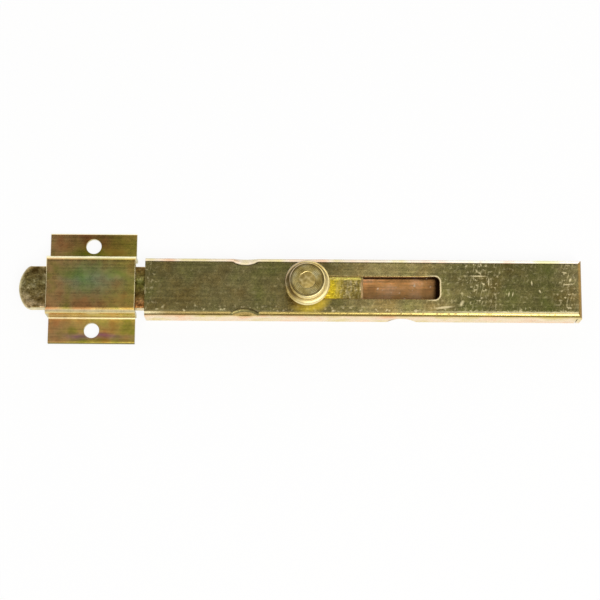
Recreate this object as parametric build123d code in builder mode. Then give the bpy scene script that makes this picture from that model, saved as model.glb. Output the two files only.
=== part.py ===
from build123d import *
import os

os.makedirs("parts", exist_ok=True)

# A surface-fixed shoot bolt, lying on its back. X runs along the bolt towards the closed end,
# Y across it, and Z out of the front. The origin is the middle of the casing's back face. All in mm.

# Driving dimensions of the sheet metal
sheet = 1.5
inside_bend = 0.3
cut_edge = 0.3

# Driving dimensions of the casing
casing_length = 157.6
casing_height = 21.5
slot_length = 51.3
slot_width = 8.1
slot_corner = 1.8
slot_to_closed_end = 51.4
dimple_radius = 12.0
dimple_rim = 2.0
front_dimple_from_mouth = 36.2
rear_dimple_from_mouth = 93.0
rear_dimple_height = 1.0
corner_seam = 0.4

# Driving dimensions of the back plate
plate_thickness = 2.0
plate_fit = 0.1
fixing_spacing = 120.0
fixing_core_diameter = 4.2
fixing_lead_in = 0.4

# Driving dimensions of the bolt bar
bolt_width = 15.4
bolt_thickness = 5.0
bolt_projection = 45.9
tail_behind_knob = 20.2
nose_radius = 11.0
nose_corner = 3.0
nose_bevel = 3.6
bar_edge = 0.6
tail_bevel_length = 0.8
tail_bevel_depth = 0.4

# Driving dimensions of the stud
neck_diameter = 7.0
bar_spigot_diameter = 5.0
bar_rivet_diameter = 7.0
bar_rivet_depth = 1.0
knob_spigot_diameter = 4.6
peen_diameter = 5.8
peen_depth = 0.6
peen_height = 0.25
rivet_fit = 0.02

# Driving dimensions of the knob
knob_lift = 1.4
knob_waist_diameter = 9.4
knob_waist_height = 2.6
knob_flange_diameter = 16.2
knob_flange_base = 6.8
knob_flange_thickness = 2.2
knob_tier_diameter = 12.9
knob_groove_depth = 0.4
knob_groove_width = 0.6
knob_face_diameter = 11.8
knob_height = 12.3
knob_flange_slope = 1.2
knob_edge = 0.5

# Driving dimensions of the keeper
keeper_length = 32.4
keeper_flange_length = 31.5
keeper_inside_bend = 0.7
keeper_sheared_edge = 0.6
keeper_height = 40.9
keeper_web_height = 21.4
keeper_hole_diameter = 5.6
keeper_hole_from_edge = 4.8
keeper_from_mouth = 3.4
keeper_off_line = 0.8

# Clearances between moving pieces
slide_clearance = 0.3
guide_clearance = 0.3
front_dimple_clearance = 0.55
slot_end_clearance = 0.15

# Derived sizes
outside_bend = sheet + inside_bend
keeper_outside_bend = sheet + keeper_inside_bend
casing_depth = plate_thickness + slide_clearance + bolt_thickness + slide_clearance + sheet
mouth_x = -casing_length / 2
closed_x = casing_length / 2
wall_y = casing_height / 2
inner_y = wall_y - sheet
slot_centre_x = closed_x - slot_to_closed_end - slot_length / 2
knob_x = slot_centre_x - slot_length / 2 + slot_end_clearance + neck_diameter / 2
bar_back_z = plate_thickness + slide_clearance
bar_front_z = bar_back_z + bolt_thickness
nose_x = mouth_x - bolt_projection
tail_x = knob_x + tail_behind_knob
bolt_length = tail_x - nose_x
# the front dimples are pressed at 45 degrees, until they clear the bar's rounded edges
front_dimple_reach = (dimple_radius + sheet + front_dimple_clearance + bar_edge) * 0.5**0.5
front_dimple_y = bolt_width / 2 - bar_edge + front_dimple_reach
front_dimple_z = bar_front_z - bar_edge + front_dimple_reach
rear_dimple_y = bolt_width / 2 + guide_clearance + sheet + dimple_radius
dimple_places = [
    (mouth_x + front_dimple_from_mouth, front_dimple_y, front_dimple_z),
    (mouth_x + rear_dimple_from_mouth, rear_dimple_y, rear_dimple_height),
]
dimple_centres = [(x, side * y, z) for x, y, z in dimple_places for side in (-1, 1)]
knob_base_z = casing_depth + knob_lift
knob_face_z = casing_depth + knob_height

# The room inside the casing, open at the mouth and at the back
with BuildPart() as casing_room:
    with BuildSketch(Plane.XY):
        with Locations((-sheet, 0)):
            Rectangle(casing_length, 2 * inner_y)
    extrude(amount=casing_depth - sheet)
    room_front = casing_room.faces().sort_by(Axis.Z)[-1]
    fillet(room_front.edges().sort_by(Axis.X)[1:], radius=inside_bend)

# What the dimples push inwards, kept inside the room
with BuildPart() as dimple_bumps:
    with Locations(*dimple_centres):
        Sphere(dimple_radius + sheet)
    add(casing_room.part, mode=Mode.INTERSECT)

# Casing cover: a pan folded from one sheet
with BuildPart() as casing_cover:
    with BuildSketch(Plane.XY):
        Rectangle(casing_length, casing_height)
    extrude(amount=casing_depth)
    casing_front = casing_cover.faces().sort_by(Axis.Z)[-1]
    fillet(casing_front.edges().sort_by(Axis.X)[1:], radius=outside_bend)
    add(casing_room.part, mode=Mode.SUBTRACT)
    # dimples pressed into the front bends guide the bar, and the rear pair, low on the walls, hold the plate
    add(dimple_bumps.part)
    with Locations(*dimple_centres):
        Sphere(dimple_radius, mode=Mode.SUBTRACT)
    dimples = casing_cover.faces().filter_by(GeomType.SPHERE)
    dimples = dimples.filter_by(lambda face: face.radius < dimple_radius + sheet / 2)
    fillet(dimples.edges().filter_by(lambda edge: edge.center().Z > plate_thickness / 2), radius=dimple_rim)
    # the knob's slot
    with BuildSketch(Plane.XY.offset(casing_depth)):
        with Locations((slot_centre_x, 0)):
            RectangleRounded(slot_length, slot_width, slot_corner)
    extrude(amount=-2 * sheet, mode=Mode.SUBTRACT)
    slot_rim = casing_cover.faces().sort_by(Axis.Z)[-1].inner_wires()[0].edges()
    fillet(slot_rim, radius=cut_edge)
    # the open seams where the side walls meet the end wall
    with BuildSketch(Plane.XY):
        with GridLocations(0, casing_height, 1, 2):
            with Locations((closed_x - sheet - corner_seam / 2, 0)):
                Rectangle(corner_seam, 2 * sheet + corner_seam)
    extrude(amount=casing_depth - outside_bend, mode=Mode.SUBTRACT)
casing_cover.part.label = "casing_cover"
export_step(casing_cover.part, "parts/casing_cover.step")

# Back plate: a strip between the side walls, notched for the dimples, with two tapped holes
plate_length = casing_length - sheet - plate_fit
with BuildPart() as back_plate:
    with BuildSketch(Plane.XY):
        with Locations((mouth_x + plate_length / 2, 0)):
            Rectangle(plate_length, 2 * (inner_y - plate_fit))
        with GridLocations(fixing_spacing, 0, 2, 1):
            Circle(fixing_core_diameter / 2, mode=Mode.SUBTRACT)
    extrude(amount=plate_thickness)
    hole_rims = back_plate.edges().filter_by(GeomType.CIRCLE).group_by(Axis.Z)[0]
    chamfer(hole_rims, length=fixing_lead_in)
    with Locations(*dimple_centres):
        Sphere(dimple_radius + sheet + plate_fit, mode=Mode.SUBTRACT)
back_plate.part.label = "back_plate"
export_step(back_plate.part, "parts/back_plate.step")

# The form of the bar's nose: a disc with a full round rim, and the shank behind it
with BuildPart() as nose_form:
    with BuildSketch(Plane.XZ):
        with BuildLine():
            Polyline(
                (nose_x + nose_bevel, bar_front_z),
                (nose_x + nose_radius, bar_front_z),
                (nose_x + nose_radius, bar_back_z),
                (nose_x + nose_bevel, bar_back_z),
            )
            ThreePointArc(
                (nose_x + nose_bevel, bar_front_z),
                (nose_x, bar_back_z + bolt_thickness / 2),
                (nose_x + nose_bevel, bar_back_z),
            )
        make_face()
    revolve(axis=Axis((nose_x + nose_radius, 0, 0), (0, 0, 1)))
    with BuildSketch(Plane.XY.offset(bar_back_z)):
        with Locations((tail_x - bolt_length / 2 + nose_radius / 2, 0)):
            Rectangle(bolt_length - nose_radius, 2 * bolt_width)
    extrude(amount=bolt_thickness)

# Bolt bar: flat bar with a rounded nose, a square tail and a countersunk rivet hole
nose_chord = nose_radius - (nose_radius**2 - (bolt_width / 2) ** 2) ** 0.5
with BuildPart() as bolt_bar:
    with BuildSketch(Plane.XY.offset(bar_back_z)) as bar_plan:
        with BuildLine():
            ThreePointArc(
                (nose_x + nose_chord, -bolt_width / 2),
                (nose_x, 0),
                (nose_x + nose_chord, bolt_width / 2),
            )
            Polyline(
                (nose_x + nose_chord, bolt_width / 2),
                (tail_x, bolt_width / 2),
                (tail_x, -bolt_width / 2),
                (nose_x + nose_chord, -bolt_width / 2),
            )
        make_face()
        fillet(bar_plan.vertices().sort_by(Axis.X)[:2], radius=nose_corner)
    extrude(amount=bolt_thickness)
    tail_face = bolt_bar.faces().sort_by(Axis.X)[-1]
    chamfer(tail_face.edges(), length=tail_bevel_depth, length2=tail_bevel_length, reference=tail_face)
    # the bar's long edges, rounded all the way round the nose
    bar_faces = bolt_bar.faces().filter_by(Axis.Z).sort_by(Axis.Z)
    long_rims = (bar_faces[0].edges() + bar_faces[-1].edges()).sort_by(Axis.X)[:-2]
    fillet(long_rims, radius=bar_edge)
    add(nose_form.part, mode=Mode.INTERSECT)
    with Locations(Plane.XY.offset(bar_back_z)):
        with Locations((knob_x, 0)):
            Cylinder(
                bar_spigot_diameter / 2 + rivet_fit, bolt_thickness,
                align=(Align.CENTER, Align.CENTER, Align.MIN), mode=Mode.SUBTRACT,
            )
            Cone(
                bar_rivet_diameter / 2 + rivet_fit, bar_spigot_diameter / 2 + rivet_fit, bar_rivet_depth,
                align=(Align.CENTER, Align.CENTER, Align.MIN), mode=Mode.SUBTRACT,
            )
bolt_bar.part.label = "bolt_bar"
export_step(bolt_bar.part, "parts/bolt_bar.step")

# Knob stud: a shouldered rivet, closed in the bar's countersink and peened over in the knob's face
with BuildPart() as knob_stud:
    with BuildSketch(Plane.XZ):
        with BuildLine(Plane.XZ):
            Polyline(
                (knob_x, knob_face_z + peen_height),
                (knob_x, bar_back_z),
                (knob_x + bar_rivet_diameter / 2, bar_back_z),
                (knob_x + bar_spigot_diameter / 2, bar_back_z + bar_rivet_depth),
                (knob_x + bar_spigot_diameter / 2, bar_front_z),
                (knob_x + neck_diameter / 2, bar_front_z),
                (knob_x + neck_diameter / 2, knob_base_z),
                (knob_x + knob_spigot_diameter / 2, knob_base_z),
                (knob_x + knob_spigot_diameter / 2, knob_face_z - peen_depth),
                (knob_x + peen_diameter / 2, knob_face_z),
            )
            TangentArc(
                (knob_x, knob_face_z + peen_height),
                (knob_x + peen_diameter / 2, knob_face_z),
                tangent=(1, 0),
            )
        make_face()
    revolve(axis=Axis((knob_x, 0, 0), (0, 0, 1)))
knob_stud.part.label = "knob_stud"
export_step(knob_stud.part, "parts/knob_stud.step")

# Knob: turned, with a waist, a wide sloping flange, a shallow groove and a smaller front tier
waist_r = knob_waist_diameter / 2
flange_r = knob_flange_diameter / 2
tier_r = knob_tier_diameter / 2
face_r = knob_face_diameter / 2
spigot_r = knob_spigot_diameter / 2 + rivet_fit
peen_r = peen_diameter / 2 + rivet_fit
waist_top_z = knob_base_z + knob_waist_height
flange_base_z = casing_depth + knob_flange_base
flange_top_z = flange_base_z + knob_flange_thickness
groove_top_z = flange_top_z + knob_groove_width
crown_z = knob_face_z - (tier_r - face_r)
with BuildPart() as knob:
    with BuildSketch(Plane.XZ) as knob_section:
        with BuildLine(Plane.XZ):
            Polyline(
                (knob_x + spigot_r, knob_face_z - peen_depth),
                (knob_x + spigot_r, knob_base_z),
                (knob_x + waist_r, knob_base_z),
                (knob_x + waist_r, waist_top_z),
            )
            TangentArc((knob_x + waist_r, waist_top_z), (knob_x + flange_r, flange_base_z), tangent=(0, 1))
            Polyline(
                (knob_x + flange_r, flange_base_z),
                (knob_x + flange_r, flange_top_z),
                (knob_x + tier_r - knob_groove_depth, flange_top_z),
                (knob_x + tier_r - knob_groove_depth, groove_top_z),
                (knob_x + tier_r, groove_top_z),
                (knob_x + tier_r, crown_z),
                (knob_x + face_r, knob_face_z),
                (knob_x + peen_r, knob_face_z),
                (knob_x + spigot_r, knob_face_z - peen_depth),
            )
        make_face()
        flange_rim = knob_section.vertices().group_by(Axis.X)[-1].sort_by(Axis.Y)
        chamfer(flange_rim[0], length=knob_edge)
        flange_rim = knob_section.vertices().group_by(Axis.X)[-1].sort_by(Axis.Y)
        chamfer(flange_rim[-1], length=knob_flange_slope)
    revolve(axis=Axis((knob_x, 0, 0), (0, 0, 1)))
knob.part.label = "knob"
export_step(knob.part, "parts/knob.step")

# Keeper: a hat-section staple bent from one strip, fixed through its two flanges
keeper_left_x = mouth_x - keeper_from_mouth - keeper_length
web_y = keeper_web_height / 2
tunnel_y = web_y - sheet
flange_y = keeper_height / 2
keeper_hole_spacing = keeper_height - 2 * keeper_hole_from_edge
with BuildPart() as keeper:
    keeper_end = Plane((keeper_left_x, keeper_off_line, 0), x_dir=(0, 1, 0), z_dir=(1, 0, 0))
    with BuildSketch(keeper_end) as keeper_section:
        with BuildLine():
            Polyline(
                (-flange_y, 0),
                (-tunnel_y, 0),
                (-tunnel_y, casing_depth - sheet),
                (tunnel_y, casing_depth - sheet),
                (tunnel_y, 0),
                (flange_y, 0),
                (flange_y, sheet),
                (web_y, sheet),
                (web_y, casing_depth),
                (-web_y, casing_depth),
                (-web_y, sheet),
                (-flange_y, sheet),
                close=True,
            )
        make_face()
        corners = keeper_section.vertices()
        outer_corners = ShapeList(
            v for v in corners
            if (abs(abs(v.X) - web_y) < cut_edge and v.Y > casing_depth - cut_edge)
            or (abs(abs(v.X) - tunnel_y) < cut_edge and v.Y < cut_edge)
        )
        fillet(outer_corners, radius=keeper_outside_bend)
        corners = keeper_section.vertices()
        inner_corners = ShapeList(
            v for v in corners
            if (abs(abs(v.X) - tunnel_y) < cut_edge and abs(v.Y - casing_depth + sheet) < cut_edge)
            or (abs(abs(v.X) - web_y) < cut_edge and abs(v.Y - sheet) < cut_edge)
        )
        fillet(inner_corners, radius=keeper_inside_bend)
        corners = keeper_section.vertices()
        free_corners = ShapeList(v for v in corners if abs(v.X) > flange_y - cut_edge and v.Y > sheet - cut_edge)
        fillet(free_corners, radius=keeper_sheared_edge)
    extrude(amount=keeper_length)
    with BuildSketch(Plane.XY):
        with Locations((keeper_left_x + keeper_length / 2, keeper_off_line)):
            Rectangle(keeper_flange_length, keeper_height)
            Rectangle(keeper_length, keeper_web_height)
    extrude(amount=casing_depth, mode=Mode.INTERSECT)
    # the web's sheared ends, rounded by the wipe of the press
    with BuildSketch(Plane.XZ) as web_ends:
        with Locations((keeper_left_x + keeper_length / 2, casing_depth / 2)):
            Rectangle(keeper_length, casing_depth)
        fillet(web_ends.vertices().group_by(Axis.Y)[-1], radius=keeper_sheared_edge)
    extrude(amount=keeper_height, both=True, mode=Mode.INTERSECT)
    with Locations((keeper_left_x + keeper_length / 2, keeper_off_line, 0)):
        with GridLocations(0, keeper_hole_spacing, 1, 2):
            Cylinder(
                keeper_hole_diameter / 2, sheet,
                align=(Align.CENTER, Align.CENTER, Align.MIN), mode=Mode.SUBTRACT,
            )
keeper.part.label = "keeper"
export_step(keeper.part, "parts/keeper.step")
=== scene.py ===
# %% [markdown]
# A shoot bolt in yellow zinc plate.
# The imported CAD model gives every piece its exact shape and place, and this lesson gives it the
# light, the camera and the finishes of a studio photograph. Lengths are in metres, and inside the
# finishes in millimetres.

import bpy
import numpy as np
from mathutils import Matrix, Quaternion, Vector


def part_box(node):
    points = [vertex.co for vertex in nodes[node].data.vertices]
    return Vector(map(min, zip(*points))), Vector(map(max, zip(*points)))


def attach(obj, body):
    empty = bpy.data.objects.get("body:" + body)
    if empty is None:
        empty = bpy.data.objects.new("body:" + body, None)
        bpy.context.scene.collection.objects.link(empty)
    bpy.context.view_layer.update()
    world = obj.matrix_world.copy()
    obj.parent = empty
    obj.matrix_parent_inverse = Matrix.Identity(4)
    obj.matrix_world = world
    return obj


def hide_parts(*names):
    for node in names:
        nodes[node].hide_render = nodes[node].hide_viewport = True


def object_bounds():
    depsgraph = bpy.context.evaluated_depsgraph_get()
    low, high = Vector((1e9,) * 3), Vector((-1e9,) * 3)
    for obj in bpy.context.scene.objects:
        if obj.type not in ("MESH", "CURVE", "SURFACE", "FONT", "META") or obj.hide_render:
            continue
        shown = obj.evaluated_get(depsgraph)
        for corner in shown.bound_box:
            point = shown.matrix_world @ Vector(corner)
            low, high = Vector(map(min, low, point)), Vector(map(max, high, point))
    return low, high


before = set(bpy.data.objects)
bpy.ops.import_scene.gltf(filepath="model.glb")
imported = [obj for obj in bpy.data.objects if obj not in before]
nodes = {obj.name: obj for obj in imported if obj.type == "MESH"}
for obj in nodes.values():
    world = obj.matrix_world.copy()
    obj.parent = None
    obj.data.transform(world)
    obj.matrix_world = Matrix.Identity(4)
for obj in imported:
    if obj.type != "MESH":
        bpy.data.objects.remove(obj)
cad_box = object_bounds()
print("CAD box in metres:", [list(corner) for corner in cad_box])
print("nodes:", sorted(nodes))

# %% [markdown]
# The camera stands almost straight above the bolt, which lies on its back. It leans twelve degrees
# towards the near long side, so the lower wall of the casing shows as a thin strip.
# The lens is worked out from two measurements: how many pixels a millimetre covers on the casing's
# front, and how fast upright edges lean together. The bolt lies a little askew, so the camera is
# rolled by a third of a degree.

# %% Camera
IMAGE_PIXELS = 600
PIXELS_PER_METRE = 2780.0
CAMERA_DISTANCE = 0.650
LEAN = np.radians(12.0)
ROLL = 0.0065
SENSOR_MM = 36.0
aim = np.array([-0.0228, -0.0047, 0.0091])
towards_camera = np.array([0.0, -np.sin(LEAN), np.cos(LEAN)])
place = aim + CAMERA_DISTANCE * towards_camera

camera_data = bpy.data.cameras.new("studio_camera")
camera_data.sensor_width = SENSOR_MM
camera_data.lens = PIXELS_PER_METRE * CAMERA_DISTANCE * SENSOR_MM / IMAGE_PIXELS
camera_data.clip_start = 0.05
camera_data.clip_end = 20.0
camera = bpy.data.objects.new("studio_camera", camera_data)
camera.location = place
looking = Vector(-towards_camera).to_track_quat("-Z", "Y")
camera.rotation_euler = (looking @ Quaternion((0, 0, 1), ROLL)).to_euler()
bpy.context.scene.collection.objects.link(camera)
bpy.context.scene.camera = camera
print("lens", round(camera_data.lens, 1), "mm at", [round(float(v), 4) for v in place])

# %% [markdown]
# Colours are read off the real thing as sRGB hex values, the way a paint chart gives them.
# Blender's shaders work in linear light, so one function turns a hex value into linear numbers,
# and one small function adds a shader node with its settings, its links and, on a ramp, its stops.
# On a Mix node for colours, socket 0 is the share, 6 and 7 are the two colours, and output 2 is
# the mixed colour.

# %% Helpers for colours and nodes
PAPER_WHITE = "#F2F2F2"


def linear(hex_value):
    """sRGB hex to linear RGBA: a channel c becomes c / 12.92 up to 0.04045, and above that
    ((c + 0.055) / 1.055) to the power 2.4."""
    channels = np.array([int(hex_value[i:i + 2], 16) for i in (1, 3, 5)]) / 255.0
    low = channels / 12.92
    high = ((channels + 0.055) / 1.055) ** 2.4
    return tuple(np.where(channels <= 0.04045, low, high)) + (1.0,)


def node(tree, kind, inputs=None, stops=None, **settings):
    """Add one node. Settings are its attributes, inputs give a socket a value, an output or a
    node, whose first output is meant, and stops are the positions and colours of a ramp."""
    made = tree.nodes.new(kind)
    for name, value in settings.items():
        setattr(made, name, value)
    for socket, value in (inputs or {}).items():
        if isinstance(value, bpy.types.Node):
            value = value.outputs[0]
        if isinstance(value, bpy.types.NodeSocket):
            tree.links.new(value, made.inputs[socket])
        else:
            made.inputs[socket].default_value = value
    if stops:
        points = made.color_ramp.elements
        while len(points) < len(stops):
            points.new(1.0)
        for point, (position, colour) in zip(points, stops):
            point.position = position
            point.color = colour
    return made


print("white paper in linear light:", [round(v, 3) for v in linear(PAPER_WHITE)])

# %% [markdown]
# A light tent surrounds the bolt. Over the near side runs a long bright strip, over the far side a
# dark ceiling, beyond it a white wall, and the near side dims towards the table's edge. The right
# and far sides are brighter, where the windows are. Plated metal is a mirror of its surroundings,
# so this is what makes the flat faces dark, the bends bright, and a thin dark line beside the far
# bend. Real walls would cast shadows and show in other views, so a world shader on the angle of
# the light's direction over the bolt takes their place.

# %% World
TENT_SIDE = (0.35, 0.30, 0.0)
TENT_LEVEL = 1.15
world = bpy.data.worlds.new("light_tent")
bpy.context.scene.world = world
world.use_nodes = True
sky = world.node_tree
sky.nodes.clear()
direction = node(sky, "ShaderNodeTexCoord")
way = node(sky, "ShaderNodeSeparateXYZ", {0: direction.outputs["Generated"]})
swing = node(sky, "ShaderNodeMath", {0: way.outputs["Y"], 1: way.outputs["Z"]}, operation="ARCTAN2")
over = node(sky, "ShaderNodeMapRange", {
    "Value": swing, "From Min": np.radians(-90), "From Max": np.radians(90)})
tent = node(sky, "ShaderNodeValToRGB", {0: over}, stops=[
    (0.00, (0.66, 0.63, 0.56, 1.0)),
    (0.20, (0.56, 0.54, 0.49, 1.0)),
    (0.26, (1.00, 0.98, 0.94, 1.0)),
    (0.45, (1.00, 0.98, 0.94, 1.0)),
    (0.54, (0.29, 0.29, 0.29, 1.0)),
    (0.58, (0.25, 0.25, 0.25, 1.0)),
    (0.62, (0.10, 0.10, 0.10, 1.0)),
    (0.68, (0.10, 0.10, 0.10, 1.0)),
    (0.76, (1.00, 0.98, 0.94, 1.0)),
])
tent_side = node(sky, "ShaderNodeVectorMath", {
    0: direction.outputs["Generated"], 1: TENT_SIDE}, operation="DOT_PRODUCT")
tent_level = node(sky, "ShaderNodeMath", {
    0: tent_side.outputs["Value"], 1: TENT_LEVEL}, operation="ADD")
tent_light = node(sky, "ShaderNodeBackground", {
    "Color": tent.outputs["Color"], "Strength": tent_level})
node(sky, "ShaderNodeOutputWorld", {"Surface": tent_light})
bpy.context.scene.view_settings.view_transform = "Standard"
print("tent:", len(tent.color_ramp.elements), "stops from the near horizon to the far one")

# %% [markdown]
# One softbox hangs to the right of the camera. Flat plated faces mirror another part of the tent,
# so they hardly see it, but dull and scratched places scatter its light, and the slot and the knob
# get shadows.

# %% Softbox
SOFTBOX_SIZE = 0.5
SOFTBOX_WATTS = 4.5
SOFTBOX_DISTANCE = 1.1
softbox_data = bpy.data.lights.new("softbox", "AREA")
softbox_data.shape = "SQUARE"
softbox_data.size = SOFTBOX_SIZE
softbox_data.energy = SOFTBOX_WATTS
softbox = bpy.data.objects.new("softbox", softbox_data)
softbox_way = np.array([0.24, -0.42, 0.87])
softbox_way = softbox_way / np.linalg.norm(softbox_way)
softbox.location = aim + SOFTBOX_DISTANCE * softbox_way
softbox.rotation_euler = Vector(-softbox_way).to_track_quat("-Z", "Y").to_euler()
bpy.context.scene.collection.objects.link(softbox)
print("softbox", softbox_data.energy, "W at", [round(float(v), 3) for v in softbox.location])

# %% [markdown]
# The bolt lies on a sheet of white paper. The camera and mirror-like metal see it as plain white,
# as in a catalogue picture, while a small share of real diffuse paper keeps the soft shadow.

# %% Floor
FLOOR_HALF = 1.5
FLOOR_GAP = 0.0002
WHITE_SHARE = 0.90
floor_mesh = bpy.data.meshes.new("studio_floor")
corners = np.array([[-1, -1, 0], [1, -1, 0], [1, 1, 0], [-1, 1, 0]]) * FLOOR_HALF
corners[:, 2] = cad_box[0][2] - FLOOR_GAP
floor_mesh.from_pydata(corners.tolist(), [], [[0, 1, 2, 3]])
floor = bpy.data.objects.new("studio_floor", floor_mesh)
bpy.context.scene.collection.objects.link(floor)
paper = bpy.data.materials.new("matt_white_paper")
paper.use_nodes = True
sheet = paper.node_tree
sheet.nodes.clear()
paper_matt = node(sheet, "ShaderNodeBsdfDiffuse", {"Color": linear(PAPER_WHITE)})
paper_white = node(sheet, "ShaderNodeEmission", {"Color": (1, 1, 1, 1), "Strength": 1.0})
ray = node(sheet, "ShaderNodeLightPath")
seen = node(sheet, "ShaderNodeMath", {
    0: ray.outputs["Is Camera Ray"], 1: ray.outputs["Is Glossy Ray"]}, operation="MAXIMUM")
seen = node(sheet, "ShaderNodeMath", {
    0: seen, 1: ray.outputs["Is Transmission Ray"]}, operation="MAXIMUM")
share = node(sheet, "ShaderNodeMath", {0: seen, 1: WHITE_SHARE}, operation="MULTIPLY")
paper_mix = node(sheet, "ShaderNodeMixShader", {0: share, 1: paper_matt, 2: paper_white})
node(sheet, "ShaderNodeOutputMaterial", {"Surface": paper_mix})
floor_mesh.materials.append(paper)
print("floor at", round(float(corners[0, 2]), 5))

# %% [markdown]
# The knob is turned from bar: a waist, a cove under a round-edged flange, a thin groove, and a
# smaller front tier. A lathe does the same with numpy: a profile of radius and height is rounded
# at its corners, then carried round the axis. Bevels on a stack of cylinders could do it too, but
# the cove and the fat flange rim are easier to set as one profile.

# %% Lathe helpers
MM = 0.001


def rounded_profile(corner_points, cuts, steps, spacing):
    """Round a closed profile: each corner becomes the parabola (1-s)^2 A + 2s(1-s) P + s^2 B,
    where A and B lie its cut length before and after the corner P. Then points are spread evenly
    along the line."""
    here = np.asarray(corner_points, float)
    back = np.roll(here, 1, axis=0) - here
    on = np.roll(here, -1, axis=0) - here
    cut = np.asarray(cuts, float)[:, None]
    start = here + cut * back / np.linalg.norm(back, axis=1, keepdims=True)
    end = here + cut * on / np.linalg.norm(on, axis=1, keepdims=True)
    s = np.linspace(0.0, 1.0, steps)[None, :, None]
    curve = (1 - s) ** 2 * start[:, None] + 2 * s * (1 - s) * here[:, None] + s ** 2 * end[:, None]
    line = curve.reshape(-1, 2)
    line = np.vstack([line, line[:1]])
    along = np.concatenate([[0.0], np.cumsum(np.linalg.norm(np.diff(line, axis=0), axis=1))])
    count = int(along[-1] / spacing)
    even = np.linspace(0.0, along[-1], count, endpoint=False)
    return np.column_stack([np.interp(even, along, line[:, 0]), np.interp(even, along, line[:, 1])])


def turned(name, profile, axis_x, turns):
    """A closed turned piece: point (i, j) is (axis_x + r_i cos t_j, r_i sin t_j, z_i), and the
    grid of points closes both along the profile and round the axis."""
    angle = np.linspace(0.0, 2 * np.pi, turns, endpoint=False)[None, :]
    radius, height = profile[:, :1], profile[:, 1:]
    points = np.stack(np.broadcast_arrays(
        axis_x + radius * np.cos(angle), radius * np.sin(angle), height), axis=-1)
    rings = len(profile)
    grid = np.arange(rings * turns).reshape(rings, turns)
    onward = np.roll(grid, -1, axis=0)
    faces = np.stack([
        grid, np.roll(grid, -1, axis=1), np.roll(onward, -1, axis=1), onward], axis=-1)
    mesh = bpy.data.meshes.new(name)
    mesh.from_pydata(points.reshape(-1, 3).tolist(), [], faces.reshape(-1, 4).tolist())
    mesh.shade_smooth()
    piece = bpy.data.objects.new(name, mesh)
    bpy.context.scene.collection.objects.link(piece)
    return piece


knob_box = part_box("knob")
knob_axis = float(knob_box[0][0] + knob_box[1][0]) / 2
knob_base = float(knob_box[0][2])
knob_top = float(knob_box[1][2])
knob_radius = float(knob_box[1][0] - knob_box[0][0]) / 2
print("knob axis at x", round(knob_axis, 5),
      "from z", round(knob_base, 5), "to", round(knob_top, 5))

# %% [markdown]
# The CAD knob has the same sizes with plain chamfers. This one replaces it, because real turned
# rims are round and catch the light as thin bright rings. Its corners are given as radius and
# height, from the foot of the bore outwards, up the outside, and back down the bore's countersink.

# %% Turned knob
CORNER_STEPS = 10
RING_SPACING = 0.14 * MM
KNOB_TURNS = 128
knob_corners = np.array([
    [2.32 * MM, knob_base],
    [4.70 * MM, knob_base],
    [4.70 * MM, knob_top - 5.45 * MM],
    [knob_radius, knob_top - 5.45 * MM],
    [knob_radius, knob_top - 3.30 * MM],
    [6.05 * MM, knob_top - 3.30 * MM],
    [6.05 * MM, knob_top - 2.70 * MM],
    [6.45 * MM, knob_top - 2.70 * MM],
    [6.45 * MM, knob_top - 0.45 * MM],
    [6.05 * MM, knob_top],
    [2.94 * MM, knob_top],
    [2.32 * MM, knob_top - 0.60 * MM],
])
knob_cuts = np.array([
    0.05, 0.30, 2.85, 0.65, 1.45, 0.15, 0.10, 0.15, 0.20, 0.20, 0.15, 0.05]) * MM
knob_profile = rounded_profile(knob_corners, knob_cuts, CORNER_STEPS, RING_SPACING)
turned_knob = turned("turned_knob", knob_profile, knob_axis, KNOB_TURNS)
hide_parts("knob")
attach(turned_knob, "bolt")
print("turned knob:", len(knob_profile), "rings,", len(turned_knob.data.polygons), "faces")

# %% [markdown]
# All the steel is zinc plated and dipped in a yellow passivating bath. The zinc grows as fine
# crystals, the bath colours it in uneven clouds from olive to bronze, and rolled stock leaves faint
# lines along its length. Three sizes of noise on the Object coordinates, in millimetres, give that
# unevenness, and the same noise drives the colour, the gloss and a very shallow relief. Pictures of
# real plate could do this too, but noise never repeats and needs no unwrapping.

# %% Helpers for plated steel
LINE_STRETCH = 0.03  # the rolled lines are about 33 mm long
WORN_ROUGHNESS = 0.4


def new_metal(name):
    """A new metal finish: the material, its node tree, its shader, its coordinates, and its Object
    coordinates times 1000, which are millimetres."""
    finish = bpy.data.materials.new(name)
    finish.use_nodes = True
    tree = finish.node_tree
    shader = tree.nodes["Principled BSDF"]
    shader.inputs["Metallic"].default_value = 1.0
    where = node(tree, "ShaderNodeTexCoord")
    in_mm = node(tree, "ShaderNodeMapping", {
        "Vector": where.outputs["Object"], "Scale": (1000, 1000, 1000)})
    return finish, tree, shader, where, in_mm.outputs[0]


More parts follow.
